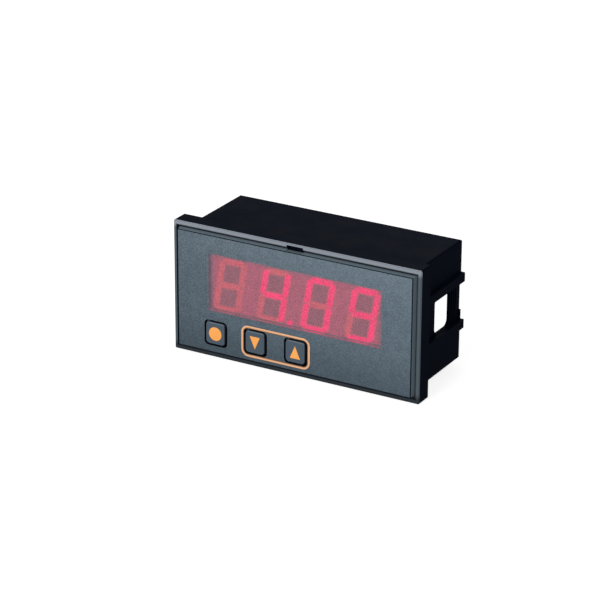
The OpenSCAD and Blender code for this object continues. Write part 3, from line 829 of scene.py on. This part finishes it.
@dataclass(frozen=True)
class BezelMoulding(EdgeLitMoulding):
    """Black moulding whose rim carries a painted sheen, as lit from the front and the left."""

    specular: float = 0.002
    right: float = -0.5
    span: Span = (0.6, 0.95)
    chamfer_span: Span = (0.5, 0.65)

    def mask(self, w: Wiring) -> Socket:
        """Marks the painted sheen on the rim's front, outer chamfers and slopes that face the
        light.
        """
        start, end = self.chamfer_span
        chamfer = FRONT_MASK.use(w, Depth=self.depth, Start=start, End=end)["Mask"]
        return w.math("MAXIMUM", super().mask(w), w.math("MULTIPLY", chamfer, self.outside(w)))


@dataclass(frozen=True)
class FasciaMoulding(EdgeLitMoulding):
    """Black moulding with painted light on its leaning sides, down to the shadow in its gap."""

    specular: float = 0.01
    # Painted light on the leaning sides, darker towards the bottom.
    low: Colour = srgb(90, 100, 108)
    mid: Colour = srgb(116, 131, 141)
    high: Colour = srgb(112, 125, 133)
    inner: Rectangle = Rectangle(45.4 * MM, 21.4 * MM)
    gap_span: Span = (-5.6 * MM, -5.9 * MM)
    brink_span: Span = (-7.75 * MM, -7.4 * MM)
    # Painted glow of the digits' red light on the walls of the window's opening.
    red: Colour = (0.32, 0.1, 0.13)
    glow_depth: float = -6.3 * MM
    opening: Rectangle = Rectangle(34.4 * MM, 11 * MM, centre=4.3 * MM)

    def mask(self, w: Wiring) -> Socket:
        """Marks where light is painted: the leaning sides between the gap and the label's brink.
        """
        depth = w.axis(w.place(), "Y")
        above_gap = w.ramp(depth, *self.gap_span)
        below_brink = w.ramp(depth, *self.brink_span)
        return w.math("MULTIPLY", self.outside(w), w.math("MULTIPLY", above_gap, below_brink))

    def dress(self, w: Wiring, shader: bpy.types.Node) -> None:
        """Adds a painted glow of the digits' red light on the walls of the window's opening."""
        near = w.math("LESS_THAN", w.axis(w.place(), "Y"), self.glow_depth)
        share = w.math("MULTIPLY", self.opening.mask(w), near)
        w.feed(shader.inputs["Emission Color"], w.mix(share, DARK, rgba(self.red)))
        shader.inputs["Emission Strength"].default_value = 1.0


@dataclass(frozen=True)
class KeyPlastic(FrontLitMoulding):
    """Smooth charcoal keys with painted light on their faces, more on their upper edges."""

    roughness: float = 0.42
    specular: float = 0.05
    # Painted light on the face, and a painted highlight on the upper edge.
    face: Colour = srgb(77, 90, 101)
    edge_light: Colour = srgb(112, 127, 139)
    edge_span: Span = (0.35, 0.75)
    right: float = -0.4
    up: float = 0.2
    span: Span = (0.35, 0.75)

    def tone(self, w: Wiring) -> object:
        """Gives the one colour of the painted light on the face."""
        return rgba(self.face)

    def paint(self, w: Wiring) -> Socket:
        """Gives the charcoal with the painted highlight on the upper edge."""
        start, end = self.edge_span
        light = FILLET_LIGHT.use(w, Start=start, End=end)["Mask"]
        return w.mix(light, super().paint(w), rgba(self.edge_light))


@dataclass(frozen=True)
class PrintedInk(Finish):
    """Orange ink, paler in the thin ring round two keys, with painted shade at its inner edge."""

    roughness: float = 0.55
    specular: float = 0.2
    ring: Colour = srgb(242, 184, 138)
    ring_edge_shade: Colour = srgb(96, 70, 56)
    line: float = 0.95 * MM
    radius: float = 1.7 * MM

    def paint(self, w: Wiring) -> Socket:
        """Gives the ink's colour."""
        low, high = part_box("key_outline")
        middle, half = (low + high) / 2, (high - low) / 2
        found = RING_EDGE.use(
            w,
            Middle=middle.x,
            Centre=middle.z,
            Half_Width=half.x - self.line,
            Half_Height=half.z - self.line,
            Radius=self.radius,
        )
        # Painted shade: the ring turns brown at its inner edge.
        ring = w.mix(found["Edge"], rgba(self.ring), rgba(self.ring_edge_shade))
        return w.mix(found["Ring"], super().paint(w), ring)


@dataclass(frozen=True)
class Film(FrontLitMoulding):
    """Grained grey film of the label, with painted light: lighter towards the top and the right.

    Specks change its light by speck_light, and each metre to the right adds rise of painted light.
    """

    colour: Colour = srgb(88, 98, 106)
    other: Colour = srgb(96, 106, 114)
    roughness: float = 0.6
    specular: float = 0.1
    # Painted light: lighter towards the top by these colours, and to the right by rise.
    low: Colour = srgb(69, 81, 90)
    mid: Colour = srgb(89, 103, 113)
    high: Colour = srgb(101, 115, 125)
    bottom: float = -26 * MM
    lower: float = -2 * MM
    upper: float = 2 * MM
    top: float = 26 * MM
    speck_light: float = 0.45
    rise: float = 2.4

    def paint(self, w: Wiring) -> Socket:
        """Gives the film's grey with light and dark specks, and the painted light rising to the
        right.
        """
        # Painted light that rises to the right, times the grain's specks.
        across = w.axis(w.place(), "X")
        sideways = w.math("MULTIPLY_ADD", across, self.rise, 1.0 - self.speck_light / 2)
        light = w.math("ADD", sideways, w.math("MULTIPLY", self.specks(w), self.speck_light))
        return w.mix(1.0, super().paint(w), light, blend="MULTIPLY")


@dataclass(frozen=True)
class WindowFilm(Film):
    """Film over the display: grey at its border, a see-through red haze inside."""

    # The haze is the film's red tint, lightened by painted light of the digits.
    haze: Colour = (0.38, 0.13, 0.19)
    haze_spread: float = 0.25
    hazy: Rectangle = Rectangle(
        34 * MM, 10.8 * MM, centre=4.3 * MM, side_fade=3.2 * MM, end_fade=1.6 * MM
    )
    clear: Rectangle = Rectangle(
        34.3 * MM, 10.65 * MM, 0.7 * MM, 4.45 * MM, side_fade=1.5 * MM, end_fade=0.5 * MM
    )
    cover: float = 0.3
    border_grain: float = 0.5

    def grainy(self, w: Wiring, mask: Socket) -> Socket:
        """Breaks up a mask's soft border with the film's grain."""
        share = w.waver(self.specks(w), 1.0, self.border_grain)
        return w.math("MINIMUM", w.math("MULTIPLY", mask, share), 1.0)

    def paint(self, w: Wiring) -> Socket:
        """Gives the film's grey, which turns into the haze, with its painted glow, inside the
        window.
        """
        dark = tuple((1 - self.haze_spread) * part for part in self.haze)
        light = tuple((1 + self.haze_spread) * part for part in self.haze)
        haze = w.mix(self.specks(w), rgba(dark), rgba(light))
        return w.mix(self.grainy(w, self.hazy.mask(w)), super().paint(w), haze)

    def dress(self, w: Wiring, shader: bpy.types.Node) -> None:
        """Lets the display show through inside the window; only the front face is tinted."""
        clear = self.grainy(w, self.clear.mask(w))
        alpha = w.math("MULTIPLY_ADD", clear, self.cover - 1, 1.0)
        w.feed(shader.inputs["Alpha"], w.math("MULTIPLY", alpha, self.mask(w)))


@dataclass(frozen=True)
class DigitFace(Finish):
    """Face of a digit module, with a painted glow of the red light its segments spread over it."""

    roughness: float = 0.6
    specular: float = 0.02
    # Emission: the lit segments' own light, and a painted glow of it elsewhere.
    inner: Colour = (0.02, 0.062, 0.06)
    outer: Colour = (0.19, 0.066, 0.085)
    unlit: Colour = (0.37, 0.086, 0.08)
    lit: Colour = (0.95, 0.02, 0.145)
    depth: float = -5.3 * MM
    uneven: float = 0.3
    spread: float = 1.0
    strength: float = 1.4

    def dress(self, w: Wiring, shader: bpy.types.Node) -> None:
        """Adds the lit segments' light and a painted glow elsewhere, a little uneven over the
        face.
        """
        light = DIGIT_LIGHT.use(w)
        # Painted glow of spilled red light on the housing, between and within digits.
        ground = w.mix(light["Between"], rgba(self.inner), rgba(self.outer))
        dim = w.mix(light["Every"], ground, rgba(self.unlit))
        # The lit segments, with a painted halo; share paints their light on the housing too.
        share = w.math("MULTIPLY", light["Lit"], self.spread)
        glow = w.mix(share, dim, rgba(self.lit))
        level = w.waver(self.specks(w), 1.0, self.uneven)
        near = w.math("LESS_THAN", w.axis(w.place(), "Y"), self.depth)
        shown = w.mix(w.math("MULTIPLY", level, near), DARK, glow)
        w.feed(shader.inputs["Emission Color"], shown)
        shader.inputs["Emission Strength"].default_value = self.strength


@dataclass(frozen=True)
class Metal(Finish):
    """Drawn or turned metal."""

    metallic: float = 1.0

    def relief(self, w: Wiring) -> Socket:
        """Gives the drawn lines."""
        return BRUSHED.use(w, Size=self.grain_size, Roughness=self.roughness)["Height"]

    def dress(self, w: Wiring, shader: bpy.types.Node) -> None:
        """Lets the roughness follow the lines."""
        lines = BRUSHED.use(w, Size=self.grain_size, Roughness=self.roughness)
        w.feed(shader.inputs["Roughness"], lines["Roughness"])


@dataclass(frozen=True)
class Laminate(Finish):
    """Green board with tracks under its lacquer."""

    roughness: float = 0.35
    track: Colour = srgb(58, 132, 84)
    pitch: float = 2.1 * MM

    def paint(self, w: Wiring) -> Socket:
        """Gives the green with lighter tracks."""
        tracks = TRACKS.use(w, Pitch=self.pitch)["Mask"]
        return w.mix(tracks, super().paint(w), rgba(self.track))

    def relief(self, w: Wiring) -> Socket:
        """Gives the height of the tracks."""
        return TRACKS.use(w, Pitch=self.pitch)["Mask"]


@dataclass(frozen=True)
class Palette:
    """All finishes of the meter, by the slot of the record that each one stands for.

    A finish takes its name, its two colours and, unless its class sets it, its roughness.
    """

    finishes: dict[str, Finish] = field(
        default_factory=lambda: {
            "case": BezelMoulding("case moulding"),
            "fascia": FasciaMoulding("fascia moulding"),
            "label_film": Film("label film"),
            "filter": WindowFilm("window film"),
            "print_orange": PrintedInk("orange print", srgb(250, 166, 82), srgb(255, 178, 96)),
            "key_plastic": KeyPlastic("key plastic", srgb(24, 29, 38), srgb(30, 36, 45)),
            "switch_plastic": Finish("switch plastic", srgb(30, 31, 34), srgb(40, 41, 45), 0.45),
            "plunger_plastic": Finish("plunger plastic", srgb(228, 222, 206), srgb(238, 234, 222)),
            "digit_body": DigitFace(
                "digit housing", (0.18, 0.05, 0.06), (0.22, 0.05, 0.06), spread=0.65
            ),
            "segment_dark": DigitFace("unlit segment", (0.3, 0.04, 0.05), (0.34, 0.04, 0.05)),
            "segment_lit": DigitFace("lit segment", (0.26, 0.01, 0.03), (0.3, 0.01, 0.03)),
            "board": Laminate("board laminate", srgb(28, 92, 52), srgb(34, 104, 60)),
            "chip": Finish("chip epoxy", srgb(26, 26, 28), srgb(36, 36, 38), 0.5),
            "connector": Finish("connector plastic", srgb(20, 20, 22), srgb(30, 30, 33), 0.5),
            "contact_metal": Metal("contact metal", (0.72, 0.62, 0.4), (0.8, 0.7, 0.5), 0.22),
            "tinned_metal": Metal("tinned metal", (0.62, 0.63, 0.65), (0.74, 0.75, 0.77), 0.26),
            "transformer": Finish("transformer tape", srgb(74, 70, 52), srgb(96, 90, 66), 0.4),
            "capacitor": Finish("capacitor sleeve", srgb(38, 46, 66), srgb(48, 58, 80), 0.3),
            "relay": Finish("relay plastic", srgb(44, 84, 138), srgb(52, 96, 152), 0.4),
            "terminal_plastic": Finish(
                "terminal plastic", srgb(34, 86, 58), srgb(42, 98, 68), 0.45, specular=0.3
            ),
            "screw_steel": Metal("screw steel", (0.55, 0.56, 0.58), (0.66, 0.67, 0.69), 0.3),
        }
    )

    def build(self) -> dict[str, bpy.types.Material]:
        """Makes every material, by slot."""
        return {slot: finish.build() for slot, finish in self.finishes.items()}


# ---- Meshes -----------------------------------------------------------------------------


def rounded_outline(width: float, height: float, radius: float, steps: int) -> list[Vector]:
    """Draws a rectangle with rounded corners about the origin, in x and z.

    Args:
        width: Size along x.
        height: Size along z.
        radius: Corner radius.
        steps: Steps in each corner.

    Returns:
        The outline's points, seen anticlockwise from the front.
    """
    points = []
    for quarter in range(4):
        sx = 1 if quarter in (0, 3) else -1
        sz = 1 if quarter in (0, 1) else -1
        for step in range(steps + 1):
            angle = math.radians(90 * (quarter + step / steps))
            x = sx * (width / 2 - radius) + radius * math.cos(angle)
            z = sz * (height / 2 - radius) + radius * math.sin(angle)
            points.append(Vector((x, 0, z)))
    return points


def ring(mesh: bmesh.types.BMesh, points: Iterable[Vector]) -> list[bmesh.types.BMVert]:
    """Adds one loop of points."""
    return [mesh.verts.new(point) for point in points]


def skin(mesh: bmesh.types.BMesh, rings: Sequence[list[bmesh.types.BMVert]]) -> None:
    """Joins rings of equal length one after another with faces.

    Args:
        mesh: The mesh.
        rings: The rings in order.
    """
    for first, second in zip(rings, rings[1:]):
        count = len(first)
        for i in range(count):
            j = (i + 1) % count
            mesh.faces.new((first[i], first[j], second[j], second[i]))


def finished(
    name: str, mesh: bmesh.types.BMesh, material: bpy.types.Material, smooth: bool = True
) -> bpy.types.Object:
    """Turns a mesh into a piece.

    Args:
        name: The piece's name.
        mesh: The mesh, which is freed.
        material: Its material.
        smooth: Whether its faces are shaded smooth.

    Returns:
        The new object.
    """
    bmesh.ops.recalc_face_normals(mesh, faces=mesh.faces)
    data = bpy.data.meshes.new(name)
    mesh.to_mesh(data)
    mesh.free()
    data.materials.append(material)
    for face in data.polygons:
        face.use_smooth = smooth
    made = bpy.data.objects.new(name, data)
    bpy.context.scene.collection.objects.link(made)
    return made


# ---- Sub-assemblies ---------------------------------------------------------------------


class KeyName(Enum):
    """The three keys, from the left."""

    SET = "set"
    DOWN = "down"
    UP = "up"


@dataclass
class KeyCaps:
    """The three push keys with their rounded faces, ears and stems."""

    materials: dict[str, bpy.types.Material]
    edge: float = 0.5 * MM
    edge_steps: int = 8
    corner: float = 1.35 * MM
    corner_steps: int = 12
    face_w: float = 7.7 * MM
    ear_depth: float = 0.9 * MM
    ear_start: float = -6.45 * MM
    ear_slack: float = 0.04 * MM
    ear_height_slack: float = 0.02 * MM
    stem_d: float = 3.8 * MM
    stem_sunk: float = 0.1 * MM
    stem_steps: int = 40
    crease: float = 40

    def cap(self, mesh: bmesh.types.BMesh, middle: Vector, front: float, height: float) -> None:
        """Builds the visible cap with its rounded edge.

        Args:
            mesh: Mesh to add to.
            middle: Centre of the key.
            front: Depth of the key's face.
            height: Height of the key.
        """
        rings = []
        for step in range(self.edge_steps + 1):
            angle = math.radians(90 * step / self.edge_steps)
            inset = self.edge * (1 - math.sin(angle))
            depth = front + self.edge * (1 - math.cos(angle))
            outline = rounded_outline(
                self.face_w - 2 * inset,
                height - 2 * inset,
                self.corner - inset / 2,
                self.corner_steps,
            )
            rings.append(ring(mesh, [p + Vector((middle.x, depth, middle.z)) for p in outline]))
        outline = rounded_outline(self.face_w, height, self.corner, self.corner_steps)
        back = self.ear_start + self.ear_depth
        rings.append(ring(mesh, [p + Vector((middle.x, back, middle.z)) for p in outline]))
        skin(mesh, rings)
        mesh.faces.new(rings[0])
        mesh.faces.new(rings[-1])

    def ears(self, mesh: bmesh.types.BMesh, low: Vector, high: Vector) -> None:
        """Builds the plate that forms both ears.

        Args:
            mesh: Mesh to add to.
            low: Lowest corner of the cap's CAD box.
            high: Highest corner of that box.
        """
        made = bmesh.ops.create_cube(mesh, size=1)["verts"]
        depth = self.ear_depth - self.ear_slack
        size = Vector((high.x - low.x, depth, high.z - low.z - self.ear_height_slack))
        middle = (low + high) / 2
        middle.y = self.ear_start + self.ear_depth / 2
        for vert in made:
            vert.co = middle + Vector(a * b for a, b in zip(vert.co, size))

    def stem(self, mesh: bmesh.types.BMesh, middle: Vector, back: float) -> None:
        """Builds the stem that meets the switch's plunger.

        Args:
            mesh: Mesh to add to.
            middle: Centre of the key.
            back: Depth of the stem's end.
        """
        rings = []
        radius = self.stem_d / 2
        for depth in (self.ear_start + self.ear_depth - self.stem_sunk, back):
            points = []
            for step in range(self.stem_steps):
                angle = 2 * math.pi * step / self.stem_steps
                x = middle.x + radius * math.cos(angle)
                z = middle.z + radius * math.sin(angle)
                points.append(Vector((x, depth, z)))
            rings.append(ring(mesh, points))
        skin(mesh, rings)
        mesh.faces.new(rings[0])
        mesh.faces.new(rings[1])

    def build(self) -> None:
        """Builds each key from the box of its CAD node and lets it ride on its body."""
        for key in KeyName:
            node = f"key_cap_{key.value}"
            low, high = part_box(node)
            mesh = bmesh.new()
            self.cap(mesh, (low + high) / 2, low.y, high.z - low.z)
            self.ears(mesh, low, high)
            self.stem(mesh, (low + high) / 2, high.y)
            piece = finished(f"key_{key.value}_cap", mesh, self.materials["key_plastic"])
            split = piece.modifiers.new("crease", "EDGE_SPLIT")
            split.split_angle = math.radians(self.crease)
            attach(piece, f"key_{key.value}")
            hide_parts(node)
            LOG.info("piece %s", piece.name)


@dataclass
class CadParts:
    """The CAD nodes that stay in view, each with a finish in place of its plain colour."""

    materials: dict[str, bpy.types.Material]
    slots: dict[str, str] = field(
        default_factory=lambda: {
            part["node"]: part["material_slot"] for part in frame["record"]["subparts"]
        }
    )

    def build(self) -> None:
        """Gives each node the material of its slot."""
        for name, node in frame["nodes"].items():
            slot = self.slots[name]
            node.data.materials.clear()
            node.data.materials.append(self.materials[slot])
            LOG.info("node %s has finish %s", name, slot)


# ---- Studio -----------------------------------------------------------------------------


@dataclass(frozen=True)
class Lamp:
    """One large soft lamp: where it hangs, its power in watts and the length of its side."""

    name: str
    place: tuple[float, float, float]
    power: float
    size: float = 0.5


@dataclass
class Studio:
    """Floor, light and camera, with angles in degrees and lengths in metres.

    The floor is seen with a glow of 1 - floor_share besides what it reflects. The surroundings
    are seen as white, and light the meter only with the share called ambient.
    """

    azimuth: float = 29.612
    elevation: float = 22.261
    roll: float = 0.314
    distance: float = 923.17 * MM
    target: Vector = field(default_factory=lambda: Vector((-1.576, 0, 1.308)) * MM)
    lens: float = 162.65
    clip: Span = (0.01, 100)
    floor_size: float = 8.0
    floor_cells: int = 8
    floor_greys: Span = (0.49, 0.51)
    floor_clouds: Span = (0.2, 0.01)
    floor_share: float = 0.18
    ambient: float = 0.38
    lamps: tuple[Lamp, ...] = (
        Lamp("front lamp", (-0.1, -0.95, 0.3), 7.0),
        Lamp("rear lamp", (-0.35, 0.9, 0.35), 1.5),
    )

    def camera(self) -> None:
        """Sets the camera at the angle from which the meter is seen."""
        a, e, r = (math.radians(v) for v in (self.azimuth, self.elevation, self.roll))
        back = Vector((math.sin(a) * math.cos(e), -math.cos(a) * math.cos(e), math.sin(e)))
        right = Vector((math.cos(a), math.sin(a), 0))
        up = back.cross(right)
        turned = right * math.cos(r) + up * math.sin(r)
        upright = up * math.cos(r) - right * math.sin(r)
        data = bpy.data.cameras.new("camera")
        data.lens = self.lens
        data.clip_start, data.clip_end = self.clip
        made = bpy.data.objects.new("camera", data)
        turn = Matrix((turned, upright, back)).transposed()
        made.matrix_world = Matrix.Translation(self.target + back * self.distance) @ turn.to_4x4()
        bpy.context.scene.collection.objects.link(made)
        bpy.context.scene.camera = made

    def seen(self, w: Wiring) -> Socket:
        """Marks camera, glossy and transmission rays."""
        path = w.node("ShaderNodeLightPath")
        glossy = path.outputs["Is Glossy Ray"]
        either = w.math("MAXIMUM", path.outputs["Is Camera Ray"], glossy)
        return w.math("MAXIMUM", either, path.outputs["Is Transmission Ray"])

    def floor(self, height: float) -> None:
        """Lays the pale floor, which keeps a soft shadow.

        Args:
            height: Height of the floor.
        """
        mesh = bmesh.new()
        cells = self.floor_cells
        bmesh.ops.create_grid(mesh, x_segments=cells, y_segments=cells, size=self.floor_size / 2)
        material = bpy.data.materials.new("floor")
        material.use_nodes = True
        w = Wiring(material.node_tree)
        shader = material.node_tree.nodes["Principled BSDF"]
        colour, other = (rgba((grey, grey, grey)) for grey in self.floor_greys)
        size, speck_size = self.floor_clouds
        drift = DRIFT.use(w, Color=colour, Other=other, Size=size, Speck_Size=speck_size)
        w.feed(shader.inputs["Base Color"], drift["Color"])
        shader.inputs["Roughness"].default_value = 1.0
        shader.inputs["Specular IOR Level"].default_value = 0.0
        glow = w.node("ShaderNodeEmission")
        glow.inputs["Color"].default_value = WHITE
        w.feed(glow.inputs["Strength"], w.math("MULTIPLY", self.seen(w), 1 - self.floor_share))
        both = w.node("ShaderNodeAddShader")
        w.feed(both.inputs[0], shader.outputs["BSDF"])
        w.feed(both.inputs[1], glow.outputs["Emission"])
        w.feed(material.node_tree.nodes["Material Output"].inputs["Surface"], both.outputs[0])
        made = finished("floor", mesh, material, smooth=False)
        made.location.z = height
        made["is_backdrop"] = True

    def world(self) -> None:
        """Makes the white surroundings, which give only a weak light of their own."""
        made = bpy.data.worlds.new("surroundings")
        made.use_nodes = True
        bpy.context.scene.world = made
        w = Wiring(made.node_tree)
        back = made.node_tree.nodes["Background"]
        back.inputs["Color"].default_value = WHITE
        level = w.math("MULTIPLY_ADD", self.seen(w), 1 - self.ambient, self.ambient)
        w.feed(back.inputs["Strength"], level)

    def hang(self, lamp: Lamp) -> None:
        """Hangs a lamp that faces the meter.

        Args:
            lamp: The lamp.
        """
        data = bpy.data.lights.new(lamp.name, "AREA")
        data.shape = "SQUARE"
        data.size = lamp.size
        data.energy = lamp.power
        made = bpy.data.objects.new(lamp.name, data)
        made.location = lamp.place
        made.rotation_mode = "QUATERNION"
        made.rotation_quaternion = Vector(lamp.place).to_track_quat("Z", "Y")
        bpy.context.scene.collection.objects.link(made)

    def build(self) -> None:
        """Builds the whole studio."""
        self.camera()
        self.floor(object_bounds()[0].z)
        self.world()
        for lamp in self.lamps:
            self.hang(lamp)
        bpy.context.scene.view_settings.view_transform = "Standard"


def main() -> None:
    """Builds the studio, the finishes and every piece."""
    logging.basicConfig(level=logging.INFO, format="%(name)s: %(message)s")
    Studio().build()
    materials = Palette().build()
    CadParts(materials).build()
    KeyCaps(materials).build()


if __name__ == "__main__":
    main()
